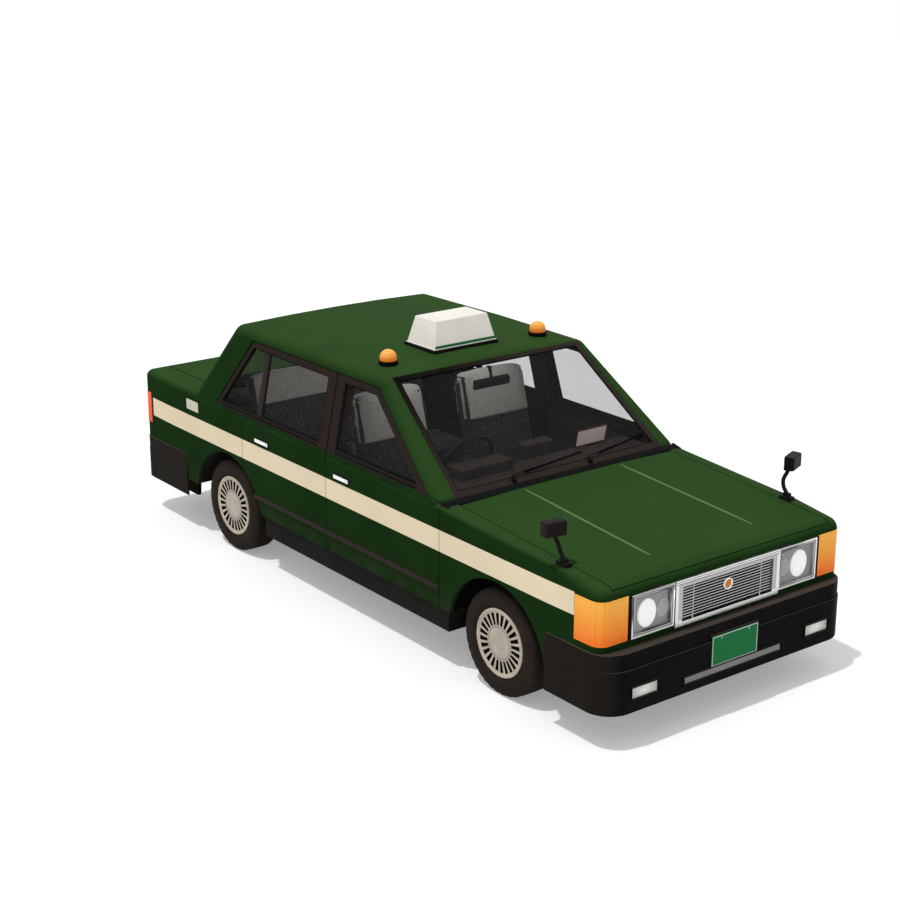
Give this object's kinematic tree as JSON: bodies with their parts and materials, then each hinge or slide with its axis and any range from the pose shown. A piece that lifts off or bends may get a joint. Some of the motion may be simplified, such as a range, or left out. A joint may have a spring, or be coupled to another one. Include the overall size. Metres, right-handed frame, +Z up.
{
  "type": "taxi cab sedan",
  "caption": "Boxy four-door taxi sedan with opening doors, bonnet and boot lid, steered front wheels, roof sign and fender mirrors.",
  "frame": {"origin": "on the ground, below the middle of the car's box", "axes": "+X to the nose, +Y to the car's left, +Z up"},
  "size_m": [4.695, 1.85, 1.654],
  "materials": {
    "green_paint": "gloss deep green with a cream stripe",
    "underbody": "matt underseal",
    "dark_trim": "satin dark brown",
    "black_plastic": "satin black",
    "chrome": "polished",
    "lamp_clear": "clear lens over a bright reflector",
    "lamp_amber": "amber lens",
    "lamp_red": "red lens",
    "glass": "grey tint",
    "dash": "grained",
    "seat_fabric": "patterned cloth",
    "engine": "cast",
    "chassis": "satin black",
    "exhaust_steel": "dull",
    "sign_white": "translucent white",
    "tyre": "matt",
    "wheel_cover": "satin beige silver"
  },
  "bodies": {
    "body": {"floor_pan": "underbody", "firewall": "underbody", "inner_fenders": "underbody", "frame_rails": "underbody", "rear_floor": "underbody", "wheelhouses": "underbody", "rear_bulkhead": "underbody", "roof_panel": "green_paint", "b_pillars": "dark_trim", "front_fender_left": "green_paint", "front_fender_right": "green_paint", "rear_quarter_left": "green_paint", "rear_quarter_right": "green_paint", "front_panel": "green_paint", "front_bumper": "black_plastic", "rear_bumper": "black_plastic", "grille": "chrome", "headlamps": "lamp_clear", "corner_lamps": "lamp_amber", "tail_lamps": "lamp_red", "windscreen": "glass", "rear_window": "glass", "dashboard": "dash", "steering_column": "black_plastic", "front_seats": "seat_fabric", "rear_seat": "seat_fabric", "engine_block": "engine", "front_suspension": "chassis", "rear_axle": "chassis", "exhaust": "exhaust_steel", "fuel_tank": "chassis", "roof_sign": "sign_white", "roof_lamps": "lamp_amber", "fender_mirrors": "black_plastic"},
    "bonnet": {"bonnet": "green_paint"},
    "boot_lid": {"boot_lid": "green_paint"},
    "front_door_left": {"front_door_left": "green_paint", "front_door_glass_left": "glass"},
    "front_door_right": {"front_door_right": "green_paint", "front_door_glass_right": "glass"},
    "rear_door_left": {"rear_door_left": "green_paint", "rear_door_glass_left": "glass"},
    "rear_door_right": {"rear_door_right": "green_paint", "rear_door_glass_right": "glass"},
    "knuckle_left": {"knuckle_left": "chassis"},
    "knuckle_right": {"knuckle_right": "chassis"},
    "wheel_front_left": {"tyre_front_left": "tyre", "wheel_front_left": "wheel_cover"},
    "wheel_front_right": {"tyre_front_right": "tyre", "wheel_front_right": "wheel_cover"},
    "wheel_rear_left": {"tyre_rear_left": "tyre", "wheel_rear_left": "wheel_cover"},
    "wheel_rear_right": {"tyre_rear_right": "tyre", "wheel_rear_right": "wheel_cover"},
    "steering_wheel": {"steering_wheel": "black_plastic"}
  },
  "joints": [
    {"name": "front_door_left_hinge", "type": "hinge", "parent": "body", "child": "front_door_left", "pos_m": [0.987, 0.878, 0.65], "axis": [0, 0, -1], "range_deg": [0, 65]},
    {"name": "front_door_right_hinge", "type": "hinge", "parent": "body", "child": "front_door_right", "pos_m": [0.987, -0.878, 0.65], "axis": [0, 0, 1], "range_deg": [0, 65]},
    {"name": "rear_door_left_hinge", "type": "hinge", "parent": "body", "child": "rear_door_left", "pos_m": [-0.108, 0.878, 0.65], "axis": [0, 0, -1], "range_deg": [0, 65]},
    {"name": "rear_door_right_hinge", "type": "hinge", "parent": "body", "child": "rear_door_right", "pos_m": [-0.108, -0.878, 0.65], "axis": [0, 0, 1], "range_deg": [0, 65]},
    {"name": "bonnet_hinge", "type": "hinge", "parent": "body", "child": "bonnet", "pos_m": [1.056, 0, 0.922], "axis": [0, -1, 0], "range_deg": [0, 55]},
    {"name": "boot_lid_hinge", "type": "hinge", "parent": "body", "child": "boot_lid", "pos_m": [-1.7075, 0, 0.963], "axis": [0, 1, 0], "range_deg": [0, 75]},
    {"name": "steer_left", "type": "hinge", "parent": "body", "child": "knuckle_left", "pos_m": [1.4695, 0.639, 0.299], "axis": [0, 0, 1], "range_deg": [-35, 35]},
    {"name": "steer_right", "type": "hinge", "parent": "body", "child": "knuckle_right", "pos_m": [1.4695, -0.639, 0.299], "axis": [0, 0, 1], "range_deg": [-35, 35]},
    {"name": "steering_wheel_turn", "type": "hinge", "parent": "body", "child": "steering_wheel", "pos_m": [0.5645, -0.37, 0.967], "axis": [-0.8988, 0, 0.4384], "range_deg": [-490, 490]},
    {"name": "wheel_front_left_spin", "type": "hinge", "parent": "knuckle_left", "child": "wheel_front_left", "pos_m": [1.4695, 0.7615, 0.299], "axis": [0, 1, 0], "continuous": true},
    {"name": "wheel_front_right_spin", "type": "hinge", "parent": "knuckle_right", "child": "wheel_front_right", "pos_m": [1.4695, -0.7615, 0.299], "axis": [0, 1, 0], "continuous": true},
    {"name": "wheel_rear_left_spin", "type": "hinge", "parent": "body", "child": "wheel_rear_left", "pos_m": [-1.2295, 0.7615, 0.299], "axis": [0, 1, 0], "continuous": true},
    {"name": "wheel_rear_right_spin", "type": "hinge", "parent": "body", "child": "wheel_rear_right", "pos_m": [-1.2295, -0.7615, 0.299], "axis": [0, 1, 0], "continuous": true}
  ],
  "couplings": [
    {"joint": "steer_right", "follows": "steer_left", "ratio": 1},
    {"joint": "steering_wheel_turn", "follows": "steer_left", "ratio": 14}
  ]
}
